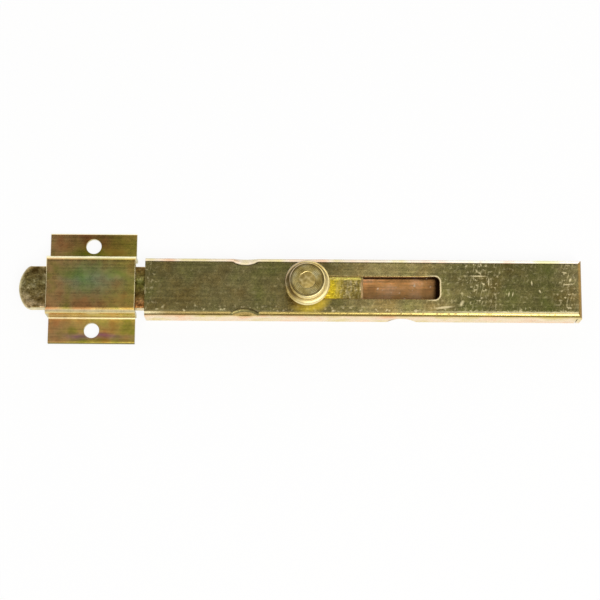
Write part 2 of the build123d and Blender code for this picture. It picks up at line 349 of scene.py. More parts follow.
def unevenness(tree, in_mm, spot_mm, spot, speck_mm, speck, line_mm, line):
    """Brightness 1 + spot (n1 - 1/2) + speck (n2 - 1/2) + line (n3 - 1/2), where n1 to n3 are
    noise of the three sizes in millimetres, and n3 is drawn out along X."""
    spots = node(tree, "ShaderNodeTexNoise", {
        "Vector": in_mm, "Scale": 1 / spot_mm, "Detail": 4.0, "Roughness": 0.6})
    specks = node(tree, "ShaderNodeTexNoise", {
        "Vector": in_mm, "Scale": 1 / speck_mm, "Detail": 2.0, "Roughness": 0.6})
    along = node(tree, "ShaderNodeMapping", {
        "Vector": in_mm, "Scale": (LINE_STRETCH, 1 / line_mm, 1 / line_mm)})
    lines = node(tree, "ShaderNodeTexNoise", {"Vector": along, "Scale": 1.0, "Detail": 3.0})
    total = node(tree, "ShaderNodeMath", {
        0: spots, 1: spot, 2: 1 - (spot + speck + line) / 2}, operation="MULTIPLY_ADD")
    total = node(tree, "ShaderNodeMath", {0: specks, 1: speck, 2: total}, operation="MULTIPLY_ADD")
    total = node(tree, "ShaderNodeMath", {0: lines, 1: line, 2: total}, operation="MULTIPLY_ADD")
    return total.outputs[0]


def lay_plating(tree, shader, colour, bright, rough, relief_mm, wear=0.0):
    """The colour is multiplied by the brightness. The roughness goes from 0.7 to 1.4 times rough
    as the brightness goes from 0.6 to 1.4, and WORN_ROUGHNESS times the wear is added to it. The
    relief is as high as the brightness times relief_mm."""
    shade = node(tree, "ShaderNodeVectorMath", {0: colour, "Scale": bright}, operation="SCALE")
    gloss = node(tree, "ShaderNodeMapRange", {
        "Value": bright, "From Min": 0.6, "From Max": 1.4,
        "To Min": 0.70 * rough, "To Max": 1.40 * rough})
    toned_down = node(tree, "ShaderNodeMath", {
        0: wear, 1: WORN_ROUGHNESS, 2: gloss}, operation="MULTIPLY_ADD")
    relief = node(tree, "ShaderNodeBump", {
        "Height": bright, "Strength": 1.0, "Distance": relief_mm * MM})
    tree.links.new(shade.outputs[0], shader.inputs["Base Color"])
    tree.links.new(toned_down.outputs[0], shader.inputs["Roughness"])
    tree.links.new(relief.outputs[0], shader.inputs["Normal"])


print("plating helpers ready")

# %% [markdown]
# The casing is folded from sheet. Its front has lain on benches and in boxes: it is olive and
# bronze in clouds, and paler round the slot, where the press and the knob have rubbed it. The tones
# change mostly along the casing, so a ramp on X carries them, and large noise added to X pushes
# their borders to and fro. A second noise turns patches of it greener or warmer.

# %% Casing front
CASING_REACH = 80.0
CLOUD_MM = 14.0
CLOUD_PUSH = 30.0
PATCH_MM = 9.0
casing_zinc, tree, shader, where, in_mm = new_metal("yellow_zinc_on_folded_sheet")
spot = node(tree, "ShaderNodeSeparateXYZ", {0: in_mm})
facing = node(tree, "ShaderNodeSeparateXYZ", {0: where.outputs["Normal"]})
clouds = node(tree, "ShaderNodeTexNoise", {"Vector": in_mm, "Scale": 1 / CLOUD_MM, "Detail": 3.0})
drift = node(tree, "ShaderNodeMath", {
    0: clouds, 1: CLOUD_PUSH, 2: spot.outputs["X"]}, operation="MULTIPLY_ADD")
along = node(tree, "ShaderNodeMapRange", {
    "Value": drift,
    "From Min": CLOUD_PUSH / 2 - CASING_REACH, "From Max": CLOUD_PUSH / 2 + CASING_REACH})
tone = node(tree, "ShaderNodeValToRGB", {0: along}, stops=[
    (0.00, linear("#9A8E57")),
    (0.22, linear("#A09460")),
    (0.40, linear("#9B8D55")),
    (0.52, linear("#D4C07E")),
    (0.66, linear("#CBB875")),
    (0.74, linear("#988F58")),
    (0.92, linear("#8D864F")),
    (0.97, linear("#B9AB74")),
])
patches = node(tree, "ShaderNodeTexNoise", {
    "Vector": in_mm, "Scale": 1 / PATCH_MM, "Detail": 3.0, "W": 4.0}, noise_dimensions="4D")
patch_hue = node(tree, "ShaderNodeValToRGB", {0: patches}, stops=[
    (0.30, linear("#F0FFE4")),
    (0.50, linear("#FFFFFF")),
    (0.70, linear("#FFF0E0")),
])
front_tone = node(tree, "ShaderNodeMix", {
    0: 1.0, 6: tone, 7: patch_hue}, data_type="RGBA", blend_type="MULTIPLY")
print("front: olive to bronze along X,", len(tone.color_ramp.elements), "stops")

# %% [markdown]
# Other pieces in the box have scuffed the front: slanting pale lines and flecks at the mouth,
# beyond the slot and near the closed end. Each mark could be drawn, but noise above a threshold
# gives hundreds of them at once, and a ramp on X says how strong they are where. The lines are
# noise that a Mapping node of the texture kind turns and draws out.

# %% Casing scuffs
SCUFF_TURN = np.radians(76)
SCUFF_MM = (3.5, 0.6, 0.6)
FLECK_MM = 1.3
turned_scuffs = node(tree, "ShaderNodeMapping", {
    "Vector": in_mm, "Rotation": (0, 0, SCUFF_TURN), "Scale": SCUFF_MM}, vector_type="TEXTURE")
scuff_noise = node(tree, "ShaderNodeTexNoise", {
    "Vector": turned_scuffs, "Scale": 1.0, "Detail": 3.0})
scuff_lines = node(tree, "ShaderNodeMapRange", {
    "Value": scuff_noise, "From Min": 0.56, "From Max": 0.70, "To Max": 0.6})
scuff_place = node(tree, "ShaderNodeMapRange", {
    "Value": spot.outputs["X"], "From Min": -CASING_REACH, "From Max": CASING_REACH})
scuff_area = node(tree, "ShaderNodeValToRGB", {0: scuff_place}, stops=[
    (0.00, (0.60, 0.60, 0.60, 1)),
    (0.025, (0.45, 0.45, 0.45, 1)),
    (0.04, (0.10, 0.10, 0.10, 1)),
    (0.62, (0.20, 0.20, 0.20, 1)),
    (0.72, (0.35, 0.35, 0.35, 1)),
    (0.76, (0.85, 0.85, 0.85, 1)),
    (0.82, (0.25, 0.25, 0.25, 1)),
    (0.93, (0.20, 0.20, 0.20, 1)),
    (0.955, (0.85, 0.85, 0.85, 1)),
    (0.98, (0.30, 0.30, 0.30, 1)),
])
fleck_noise = node(tree, "ShaderNodeTexNoise", {
    "Vector": in_mm, "Scale": 1 / FLECK_MM, "Detail": 3.0})
fleck_spots = node(tree, "ShaderNodeMapRange", {
    "Value": fleck_noise, "From Min": 0.55, "From Max": 0.68})
scuffs = node(tree, "ShaderNodeMath", {0: scuff_lines, 1: fleck_spots}, operation="MAXIMUM")
scuffs = node(tree, "ShaderNodeMath", {0: scuffs, 1: scuff_area}, operation="MULTIPLY")
print("scuffs:", len(scuff_area.color_ramp.elements), "stops from the mouth to the closed end")

# %% [markdown]
# The near edge of the front rubs on whatever the bolt is dragged over. It is flecked all along, and
# on the flat beside the bend runs a rubbed line with a ragged border, stronger to the right. Both
# masks come from Y, and the Normal keeps the line off the bend itself.

# %% Casing near edge
EDGE_PUSH = 0.8
near_edge = node(tree, "ShaderNodeMapRange", {
    "Value": spot.outputs["Y"], "From Min": -5.5, "From Max": -8.6, "To Max": 0.75})
flecks = node(tree, "ShaderNodeMath", {0: fleck_spots, 1: near_edge}, operation="MULTIPLY")
edge_drift = node(tree, "ShaderNodeMath", {
    0: fleck_noise, 1: EDGE_PUSH, 2: spot.outputs["Y"]}, operation="MULTIPLY_ADD")
edge_line = node(tree, "ShaderNodeMapRange", {
    "Value": edge_drift, "From Min": -7.95, "From Max": -8.20})
edge_place = node(tree, "ShaderNodeMapRange", {
    "Value": spot.outputs["X"], "From Min": 10.0, "From Max": 50.0,
    "To Min": 0.10, "To Max": 0.80})
flat_front = node(tree, "ShaderNodeMapRange", {
    "Value": facing.outputs["Z"], "From Min": 0.96, "From Max": 0.99})
edge_wear = node(tree, "ShaderNodeMath", {0: edge_line, 1: edge_place}, operation="MULTIPLY")
edge_wear = node(tree, "ShaderNodeMath", {0: edge_wear, 1: flat_front}, operation="MULTIPLY")
flecks = node(tree, "ShaderNodeMath", {0: flecks, 1: edge_wear}, operation="MAXIMUM")
print("near edge: flecks and a rubbed line")

# %% [markdown]
# The press left a thin burr round the slot's right end, and its brightness is a painted highlight.
# The slot is a rectangle with rounded corners, so how far a place lies past the corners' centres,
# sideways and endways and never less than nothing, makes a vector whose length grows outwards from
# the rim. A band of that length is the burr's painted highlight.

# %% Slot burr
SLOT_HALF = 4.05
SLOT_END = 27.4
SLOT_CORNER = 1.8
BURR_INNER = 0.5
BURR_OUTER = 0.8
beside_slot = node(tree, "ShaderNodeMath", {0: spot.outputs["Y"]}, operation="ABSOLUTE")
past_side = node(tree, "ShaderNodeMath", {
    0: beside_slot, 1: SLOT_HALF - SLOT_CORNER}, operation="SUBTRACT")
past_end = node(tree, "ShaderNodeMath", {
    0: spot.outputs["X"], 1: SLOT_END - SLOT_CORNER}, operation="SUBTRACT")
past_corner = node(tree, "ShaderNodeCombineXYZ", {0: past_side, 1: past_end})
past_corner = node(tree, "ShaderNodeVectorMath", {
    0: past_corner, 1: (0, 0, 0)}, operation="MAXIMUM")
past_rim = node(tree, "ShaderNodeVectorMath", {0: past_corner}, operation="LENGTH")
# Painted highlight: a bright band just outside the slot's right end.
rim_highlight_line = node(tree, "ShaderNodeMapRange", {
    "Value": past_rim.outputs["Value"],
    "From Min": SLOT_CORNER + BURR_OUTER, "From Max": SLOT_CORNER + BURR_INNER})
rim_end = node(tree, "ShaderNodeMapRange", {
    "Value": spot.outputs["X"], "From Min": 22.0, "From Max": 26.0})
burr_highlight = node(tree, "ShaderNodeMath", {0: rim_highlight_line, 1: rim_end}, operation="MULTIPLY")
print("burr up to", BURR_OUTER, "mm outside the slot's rim")

# %% [markdown]
# The longest scratches catch the eye, so these are placed one by one. A Mapping node of the
# texture kind turns and shrinks each to a ball of radius 1, and the distance from its middle is
# its mask. All the wear is then gathered as the strongest mask at each place, and worn metal is
# paler.

# %% Casing scratches
SCRATCH_HEIGHT = 9.0
SCRATCH_DEPTH = 3.0
SCRATCHES = [  # middle X, middle Y, half length and half width in millimetres, turn in degrees
    (29.0, -7.1, 4.5, 0.55, 6),
    (41.4, 4.5, 4.1, 0.35, 0),
    (45.2, 2.5, 2.0, 0.35, 88),
    (35.4, -5.6, 1.6, 0.80, 60),
    (52.4, -2.1, 1.2, 0.30, 80),
    (53.8, -2.1, 1.1, 0.30, 78),
    (60.7, 2.0, 1.2, 0.35, 95),
    (63.6, -1.0, 0.9, 0.40, 115),
    (74.6, 3.3, 1.0, 0.50, 70),
    (73.6, 1.6, 1.8, 0.30, 0),
]
wear = node(tree, "ShaderNodeMath", {0: scuffs, 1: flecks}, operation="MAXIMUM")
wear = node(tree, "ShaderNodeMath", {0: wear, 1: burr_highlight}, operation="MAXIMUM")
for middle_x, middle_y, half_length, half_width, turn in SCRATCHES:
    beside = node(tree, "ShaderNodeMapping", {
        "Vector": in_mm, "Location": (middle_x, middle_y, SCRATCH_HEIGHT),
        "Rotation": (0, 0, np.radians(turn)),
        "Scale": (half_length, half_width, SCRATCH_DEPTH)}, vector_type="TEXTURE")
    reach = node(tree, "ShaderNodeVectorMath", {0: beside}, operation="LENGTH")
    scratch = node(tree, "ShaderNodeMapRange", {
        "Value": reach.outputs["Value"], "From Min": 1.0, "From Max": 0.4, "To Max": 0.7})
    wear = node(tree, "ShaderNodeMath", {0: wear, 1: scratch}, operation="MAXIMUM")
# Worn places are paler, and the burr's band here is its painted highlight.
worn_tone = node(tree, "ShaderNodeMix", {
    0: wear, 6: front_tone.outputs[2], 7: linear("#EBDDB4")}, data_type="RGBA")
print("scratches:", len(SCRATCHES))

# %% [markdown]
# On the knob's near side the front gets a painted reflection of the yellow knob. A ring about the
# knob's axis times a mask of that side gives the patch, which is also made rougher.

# %% Painted knob reflection
FRONT_HEIGHT = 9.1
round_knob = node(tree, "ShaderNodeMapping", {
    "Vector": in_mm, "Location": (knob_axis / MM, 0, FRONT_HEIGHT)}, vector_type="TEXTURE")
knob_reach = node(tree, "ShaderNodeVectorMath", {0: round_knob}, operation="LENGTH")
# Painted reflection of the knob: a yellow patch on its near side.
knob_reflection_ring = node(tree, "ShaderNodeMapRange", {
    "Value": knob_reach.outputs["Value"], "From Min": 10.5, "From Max": 8.0, "To Max": 0.6})
knob_reflection_way = node(tree, "ShaderNodeVectorMath", {
    0: round_knob, 1: (0.3, -0.95, 0.0)}, operation="DOT_PRODUCT")
knob_reflection_side = node(tree, "ShaderNodeMapRange", {
    "Value": knob_reflection_way.outputs["Value"], "From Min": 4.0, "From Max": 8.0})
rub_and_reflection_mask = node(tree, "ShaderNodeMath", {0: knob_reflection_ring, 1: knob_reflection_side}, operation="MULTIPLY")
knob_reflection_tone = node(tree, "ShaderNodeMix", {
    0: rub_and_reflection_mask, 6: worn_tone.outputs[2], 7: linear("#F4DC40")}, data_type="RGBA")
wear = node(tree, "ShaderNodeMath", {0: wear, 1: rub_and_reflection_mask}, operation="MAXIMUM")
print("finger patch round x", round(knob_axis / MM, 2), "mm")

# %% [markdown]
# The bends and walls mirror the light tent, and their tones are painted reflections. The Y part of
# the Normal tells how far the sheet has turned, so a ramp on it carries painted bright and dark
# bands from the near wall over the bends to the far wall, pale gold with a play of pink and green
# where the film is thinnest. Towards the closed end the far side is painted nearly white, a
# painted highlight. The near bend has painted golds of its own, which change along the casing.

# %% Casing bends
outside = node(tree, "ShaderNodeMapRange", {"Value": beside_slot, "From Min": 6.5, "From Max": 7.5})
across = node(tree, "ShaderNodeMapRange", {
    "Value": facing.outputs["Y"], "From Min": -1.0, "From Max": 1.0})
# Painted reflections: bright and dark bands laid on by how far the sheet has turned.
fold_reflection_tone = node(tree, "ShaderNodeValToRGB", {0: across}, stops=[
    (0.06, linear("#F8DFB4")),
    (0.15, linear("#8E7838")),
    (0.30, linear("#C4A85C")),
    (0.44, linear("#8E7C40")),
    (0.57, linear("#6F6436")),
    (0.66, linear("#E0D2BC")),
])
# Painted highlight: the far side turns nearly white towards the closed end.
far_side_highlight = node(tree, "ShaderNodeMapRange", {
    "Value": spot.outputs["X"], "From Min": -10.0, "From Max": 50.0, "To Max": 0.85})
far_side = node(tree, "ShaderNodeMapRange", {
    "Value": facing.outputs["Y"], "From Min": 0.20, "From Max": 0.45})
far_side_highlight = node(tree, "ShaderNodeMath", {0: far_side_highlight, 1: far_side}, operation="MULTIPLY")
side_fold = node(tree, "ShaderNodeMix", {
    0: far_side_highlight, 6: fold_reflection_tone, 7: linear("#FFFCF6")}, data_type="RGBA")
wall_hue = node(tree, "ShaderNodeValToRGB", {0: patches}, stops=[
    (0.34, linear("#F0F2C4")),
    (0.50, linear("#FFFFFF")),
    (0.66, linear("#FFE6D8")),
])
hued_fold = node(tree, "ShaderNodeMix", {
    0: 1.0, 6: side_fold.outputs[2], 7: wall_hue}, data_type="RGBA", blend_type="MULTIPLY")
# Painted reflection: the near bend's own golds, which change along the casing.
near_bend_reflection = node(tree, "ShaderNodeValToRGB", {0: across}, stops=[
    (0.16, (0, 0, 0, 1)),
    (0.22, (1, 1, 1, 1)),
    (0.42, (1, 1, 1, 1)),
    (0.47, (0, 0, 0, 1)),
])
bend_reflection_gold = node(tree, "ShaderNodeValToRGB", {0: scuff_place}, stops=[
    (0.012, linear("#DCCFA4")),
    (0.06, linear("#9C8756")),
    (0.40, linear("#928046")),
    (0.60, linear("#9C8A52")),
    (0.78, linear("#CAB870")),
])
bent_fold = node(tree, "ShaderNodeMix", {
    0: near_bend_reflection, 6: hued_fold.outputs[2], 7: bend_reflection_gold}, data_type="RGBA")
tilt = node(tree, "ShaderNodeMath", {0: facing.outputs["Y"]}, operation="ABSOLUTE")
folded = node(tree, "ShaderNodeMapRange", {"Value": tilt, "From Min": 0.05, "From Max": 0.16})
folded = node(tree, "ShaderNodeMath", {0: folded, 1: outside}, operation="MULTIPLY")
print("bends:", len(fold_reflection_tone.color_ramp.elements), "stops across,",
      len(bend_reflection_gold.color_ramp.elements), "golds along the near bend")

# %% [markdown]
# The near front dent was pressed after folding. Its light is painted like the bends': painted shade
# darkens its rim, its hollow is an olive painted reflection, and the bend's painted gold runs on
# through its foot. Its sides turn as the bends do, so their ramp would colour it wrongly: the dent
# is masked out of them and gets a ramp of its own on the height above the table.

# %% Near dent
DENT_X = -42.6
from_dent = node(tree, "ShaderNodeMath", {0: spot.outputs["X"], 1: DENT_X}, operation="SUBTRACT")
from_dent = node(tree, "ShaderNodeMath", {0: from_dent}, operation="ABSOLUTE")
in_dent = node(tree, "ShaderNodeMapRange", {"Value": from_dent, "From Min": 5.6, "From Max": 4.9})
dent_up = node(tree, "ShaderNodeMapRange", {
    "Value": facing.outputs["Z"], "From Min": 0.45, "From Max": 0.60})
dent_near = node(tree, "ShaderNodeMapRange", {
    "Value": spot.outputs["Y"], "From Min": 0.0, "From Max": -4.0})
in_dent = node(tree, "ShaderNodeMath", {0: in_dent, 1: dent_up}, operation="MULTIPLY")
in_dent = node(tree, "ShaderNodeMath", {0: in_dent, 1: dent_near}, operation="MULTIPLY")
off_dent = node(tree, "ShaderNodeMath", {0: 1.0, 1: in_dent}, operation="SUBTRACT")
folded = node(tree, "ShaderNodeMath", {0: folded, 1: off_dent}, operation="MULTIPLY")
dent_height = node(tree, "ShaderNodeMapRange", {
    "Value": spot.outputs["Z"], "From Min": 7.4, "From Max": FRONT_HEIGHT})
# Painted reflection and shade up the dent's height: gold foot, olive hollow, dark rim.
dent_reflection_tone = node(tree, "ShaderNodeValToRGB", {0: dent_height}, stops=[
    (0.10, linear("#8E7838")),
    (0.18, linear("#DCBE72")),
    (0.60, linear("#DCC27C")),
    (0.68, linear("#8E885A")),
    (0.84, linear("#8A8252")),
    (0.93, linear("#443C22")),
])
# Painted shade on the dent's rim.
dent_rim_shade = node(tree, "ShaderNodeMapRange", {
    "Value": facing.outputs["Y"], "From Min": -0.03, "From Max": -0.12, "To Max": 0.95})
dent_rim_shade = node(tree, "ShaderNodeMath", {0: dent_rim_shade, 1: in_dent}, operation="MULTIPLY")
dent_shaded_tone = node(tree, "ShaderNodeMix", {
    0: dent_rim_shade, 6: knob_reflection_tone.outputs[2], 7: dent_reflection_tone}, data_type="RGBA")
side_tone = node(tree, "ShaderNodeMix", {
    0: folded, 6: dent_shaded_tone.outputs[2], 7: bent_fold.outputs[2]}, data_type="RGBA")
print("near dent at x", DENT_X, "mm,", len(dent_reflection_tone.color_ramp.elements), "stops up its height")

# %% [markdown]
# The folded end wall is brown gold and rubbed. The slot's walls are cut edges, coloured as painted
# shade: their rounded rim is brown, and below it they are painted almost black. Between the bends
# only the slot's walls are steep, so the Normal finds them.

# %% Casing end and slot walls
SLOT_MIDDLE = 1.75
SLOT_REACH = 26.5
end_turn = node(tree, "ShaderNodeMapRange", {
    "Value": facing.outputs["X"], "From Min": 0.15, "From Max": 0.45, "To Max": 0.9})
end_tone = node(tree, "ShaderNodeMix", {
    0: end_turn, 6: side_tone.outputs[2], 7: linear("#A08048")}, data_type="RGBA")
steep = node(tree, "ShaderNodeMapRange", {
    "Value": facing.outputs["Z"], "From Min": 0.995, "From Max": 0.93})
inside = node(tree, "ShaderNodeMath", {0: 1.0, 1: outside}, operation="SUBTRACT")
slot_wall = node(tree, "ShaderNodeMath", {0: steep, 1: inside}, operation="MULTIPLY")
at_slot = node(tree, "ShaderNodeMath", {
    0: spot.outputs["X"], 1: SLOT_MIDDLE, 2: SLOT_REACH}, operation="COMPARE")
slot_wall = node(tree, "ShaderNodeMath", {0: slot_wall, 1: at_slot}, operation="MULTIPLY")
# Painted shade: the cut walls go almost black below their rim.
cut_wall = node(tree, "ShaderNodeMapRange", {
    "Value": facing.outputs["Z"], "From Min": 0.70, "From Max": 0.45})
slot_wall_shade_tone = node(tree, "ShaderNodeMix", {
    0: cut_wall, 6: linear("#86683E"), 7: linear("#2E1E10")}, data_type="RGBA")
casing_tone = node(tree, "ShaderNodeMix", {
    0: slot_wall, 6: end_tone.outputs[2], 7: slot_wall_shade_tone.outputs[2]}, data_type="RGBA")
print("slot walls from x", SLOT_MIDDLE - SLOT_REACH, "to", SLOT_MIDDLE + SLOT_REACH, "mm")

# %% [markdown]
# Last, the plating itself. Folding stretched the zinc smooth, so the bends and walls are calmer
# than the front, and the end wall is as dull as other worn places.

# %% Casing plating
FOLD_CALM = 0.65
END_WEAR = 0.5
rough_bright = unevenness(
    tree, in_mm, spot_mm=3.2, spot=0.75, speck_mm=0.7, speck=0.7, line_mm=0.8, line=0.5)
calm = node(tree, "ShaderNodeMath", {0: folded, 1: FOLD_CALM}, operation="MULTIPLY")
casing_bright = node(tree, "ShaderNodeMix", {0: calm, 2: rough_bright, 3: 1.0})
end_wear = node(tree, "ShaderNodeMath", {0: end_turn, 1: END_WEAR}, operation="MULTIPLY")
wear = node(tree, "ShaderNodeMath", {0: wear, 1: end_wear}, operation="MAXIMUM")
lay_plating(tree, shader, casing_tone.outputs[2], casing_bright,
            rough=0.25, relief_mm=0.03, wear=wear)
nodes["casing_cover"].material_slots[0].material = casing_zinc
print(casing_zinc.name, "with", len(tree.nodes), "nodes")

# %% [markdown]
# The keeper is a short strip pressed to a hat section. It shows the rainbow of the yellow bath
# best: grey green in the middle of the web, brown at its left and lower edges, olive and violet on
# the flanges. The colour changes mostly from flange to flange, so a ramp on Y carries it, pushed by
# clouds, and the left and right edges are tinted brown and olive.

# %% Keeper rainbow
KEEPER_CLOUD_MM = 9.0
KEEPER_PATCH_MM = 6.0
KEEPER_PUSH = 3.0
KEEPER_EDGE_PUSH = 12.0
keeper_zinc, tree, shader, where, in_mm = new_metal("iridescent_yellow_zinc")
spot = node(tree, "ShaderNodeSeparateXYZ", {0: in_mm})
clouds = node(tree, "ShaderNodeTexNoise", {
    "Vector": in_mm, "Scale": 1 / KEEPER_CLOUD_MM, "Detail": 3.0})
drift = node(tree, "ShaderNodeMath", {
    0: clouds, 1: KEEPER_PUSH, 2: spot.outputs["Y"]}, operation="MULTIPLY_ADD")
across = node(tree, "ShaderNodeMapRange", {"Value": drift, "From Min": -18.5, "From Max": 23.5})
tone = node(tree, "ShaderNodeValToRGB", {0: across}, stops=[
    (0.030, linear("#C0A84C")),
    (0.075, linear("#B08088")),
    (0.105, linear("#D6AE62")),
    (0.200, linear("#CEB664")),
    (0.250, linear("#DCC674")),
    (0.290, linear("#B08F58")),
    (0.360, linear("#B4935C")),
    (0.440, linear("#A8A26C")),
    (0.540, linear("#A6B284")),
    (0.640, linear("#A7A66C")),
    (0.710, linear("#A8985A")),
    (0.755, linear("#6F752A")),
    (0.800, linear("#9A9032")),
    (0.880, linear("#9C7A3D")),
    (0.970, linear("#9A7245")),
    (1.000, linear("#8A6541")),
])
end_drift = node(tree, "ShaderNodeMath", {
    0: clouds, 1: KEEPER_EDGE_PUSH, 2: spot.outputs["X"]}, operation="MULTIPLY_ADD")
brown_end = node(tree, "ShaderNodeMapRange", {
    "Value": end_drift, "From Min": -96.0, "From Max": -105.0, "To Max": 0.95})
browned = node(tree, "ShaderNodeMix", {
    0: brown_end, 6: tone, 7: linear("#C69F66")}, data_type="RGBA")
olive_end = node(tree, "ShaderNodeMapRange", {
    "Value": end_drift, "From Min": -89.0, "From Max": -79.0, "To Max": 0.7})
ended = node(tree, "ShaderNodeMix", {
    0: olive_end, 6: browned.outputs[2], 7: linear("#C8AE52")}, data_type="RGBA")
patches = node(tree, "ShaderNodeTexNoise", {
    "Vector": in_mm, "Scale": 1 / KEEPER_PATCH_MM, "Detail": 3.0, "W": 2.0},
    noise_dimensions="4D")
patch_hue = node(tree, "ShaderNodeValToRGB", {0: patches}, stops=[
    (0.32, linear("#DCF6C8")),
    (0.50, linear("#FFFFFF")),
    (0.66, linear("#FFE4E4")),
])
hued = node(tree, "ShaderNodeMix", {
    0: 1.0, 6: ended.outputs[2], 7: patch_hue}, data_type="RGBA", blend_type="MULTIPLY")
print("rainbow:", len(tone.color_ramp.elements), "stops from flange to flange")

# %% [markdown]
# The keeper's bends and walls get painted highlights in pale gold from a ramp on the Normal, and
# the far bend the palest painted highlight; its near edge is olive. Where the near wall meets its
# flange, the inner bend collects light in a thin pale line, painted too. The Normal finds the
# bends, and a narrow band of Y finds that line.

# %% Keeper bends
FOOT_Y = -10.3
FOOT_HALF = 0.42
FOOT_WEAR = 0.35
facing = node(tree, "ShaderNodeSeparateXYZ", {0: where.outputs["Normal"]})
# Painted highlights on the keeper's bends, by the Z part of the Normal.
fold_reflection_tone = node(tree, "ShaderNodeValToRGB", {0: facing.outputs["Z"]}, stops=[
    (0.00, linear("#BCB070")),
    (0.30, linear("#E8CC84")),
    (0.55, linear("#E6D292")),
    (0.85, linear("#FFF6D0")),
])
# Painted highlight: the far bend palest.
far_bend_highlight = node(tree, "ShaderNodeValToRGB", {0: facing.outputs["Y"]}, stops=[
    (0.20, (0, 0, 0, 1)),
    (0.40, (0.8, 0.8, 0.8, 1)),
    (0.80, (0.8, 0.8, 0.8, 1)),
    (0.95, (0, 0, 0, 1)),
])
far_highlight_tone = node(tree, "ShaderNodeMix", {
    0: far_bend_highlight, 6: fold_reflection_tone, 7: linear("#FFFFDC")}, data_type="RGBA")
low_edge = node(tree, "ShaderNodeMapRange", {
    "Value": spot.outputs["Y"], "From Min": -18.9, "From Max": -19.2})
edge_tone = node(tree, "ShaderNodeMix", {
    0: low_edge, 6: far_highlight_tone.outputs[2], 7: linear("#8C8240")}, data_type="RGBA")
folded = node(tree, "ShaderNodeMapRange", {
    "Value": facing.outputs["Z"], "From Min": 0.95, "From Max": 0.75, "To Max": 0.95})
folded_tone = node(tree, "ShaderNodeMix", {
    0: folded, 6: hued.outputs[2], 7: edge_tone.outputs[2]}, data_type="RGBA")
# Painted highlight: the thin pale line at the inner bend.
at_foot = node(tree, "ShaderNodeMath", {
    0: spot.outputs["Y"], 1: FOOT_Y, 2: FOOT_HALF}, operation="COMPARE")
foot_up = node(tree, "ShaderNodeMapRange", {
    "Value": facing.outputs["Z"], "From Min": 0.45, "From Max": 0.75, "To Max": 0.80})
foot = node(tree, "ShaderNodeMath", {0: at_foot, 1: foot_up}, operation="MULTIPLY")
keeper_tone = node(tree, "ShaderNodeMix", {
    0: foot, 6: folded_tone.outputs[2], 7: linear("#F8E8B8")}, data_type="RGBA")
keeper_bright = unevenness(
    tree, in_mm, spot_mm=3.0, spot=0.6, speck_mm=0.8, speck=0.3, line_mm=0.7, line=0.45)
dull_flange = node(tree, "ShaderNodeMapRange", {
    "Value": spot.outputs["Y"], "From Min": -9.5, "From Max": -11.5, "To Max": 0.15})
foot_wear = node(tree, "ShaderNodeMath", {0: foot, 1: FOOT_WEAR}, operation="MULTIPLY")
keeper_wear = node(tree, "ShaderNodeMath", {0: dull_flange, 1: foot_wear}, operation="MAXIMUM")
lay_plating(tree, shader, keeper_tone.outputs[2], keeper_bright,
            rough=0.27, relief_mm=0.05, wear=keeper_wear)
nodes["keeper"].material_slots[0].material = keeper_zinc
print(keeper_zinc.name, "with", len(tree.nodes), "nodes")

# %% [markdown]
# The bolt is cropped from hot rolled flat bar. Under the plating its scale leaves pits and dark
# patches, so its noise is stronger than the sheet's and its relief deeper. Across the bar the bath
# left bands, reddish at the near edge and green over the middle, which fade on the nose.

# %% Bolt scale
SCALE_MM = 4.0
BAR_HALF = 7.7
bolt_zinc, tree, shader, where, in_mm = new_metal("yellow_zinc_on_rolled_bar")
spot = node(tree, "ShaderNodeSeparateXYZ", {0: in_mm})
scale_spots = node(tree, "ShaderNodeTexNoise", {
    "Vector": in_mm, "Scale": 1 / SCALE_MM, "Detail": 5.0, "Roughness": 0.65})
tone = node(tree, "ShaderNodeValToRGB", {0: scale_spots}, stops=[
    (0.34, linear("#54431F")),
    (0.50, linear("#86764A")),
    (0.64, linear("#C4B48C")),
])
bar_place = node(tree, "ShaderNodeMapRange", {
    "Value": spot.outputs["Y"], "From Min": -BAR_HALF, "From Max": BAR_HALF})
bar_hue = node(tree, "ShaderNodeValToRGB", {0: bar_place}, stops=[
    (0.10, linear("#FFC49A")),
    (0.32, linear("#FFF2D4")),
    (0.60, linear("#DFFCC4")),
    (0.95, linear("#FFE8CC")),
])
off_nose = node(tree, "ShaderNodeMapRange", {
    "Value": spot.outputs["X"], "From Min": -105.0, "From Max": -92.0, "To Min": 0.25})
hued = node(tree, "ShaderNodeMix", {
    0: off_nose, 6: tone, 7: bar_hue}, data_type="RGBA", blend_type="MULTIPLY")
print("scale:", len(tone.color_ramp.elements), "tones,", len(bar_hue.color_ramp.elements), "hues")

# %% [markdown]
# The tail shows in the slot and has been polished there: its colour is smoother, with marks across
# it. Beside the stud it gets a yellow painted reflection of the knob, and along the slot's far rim
# a pale painted highlight. The bar's edges get a pale painted highlight too, and its cropped end a
# pinkish painted highlight. Each is a mask from X, Y or the Normal, laid over the scale in turn.

# %% Bolt tail and edges
BRUSH_MM = (0.9, 3.0)
RIM_WEAR = 0.5
brushed = node(tree, "ShaderNodeMapping", {
    "Vector": in_mm, "Scale": (1 / BRUSH_MM[0], 1 / BRUSH_MM[1], 1.0)})
tail_spots = node(tree, "ShaderNodeTexNoise", {"Vector": brushed, "Detail": 4.0, "Scale": 1.0})
tail_tone = node(tree, "ShaderNodeValToRGB", {0: tail_spots}, stops=[
    (0.36, linear("#8C783A")),
    (0.50, linear("#A8944F")),
    (0.64, linear("#CDBB86")),
])
rub_and_reflection_mask = node(tree, "ShaderNodeMapRange", {
    "Value": spot.outputs["X"], "From Min": -30.0, "From Max": -15.0})
tailed = node(tree, "ShaderNodeMix", {
    0: rub_and_reflection_mask, 6: hued.outputs[2], 7: tail_tone}, data_type="RGBA")
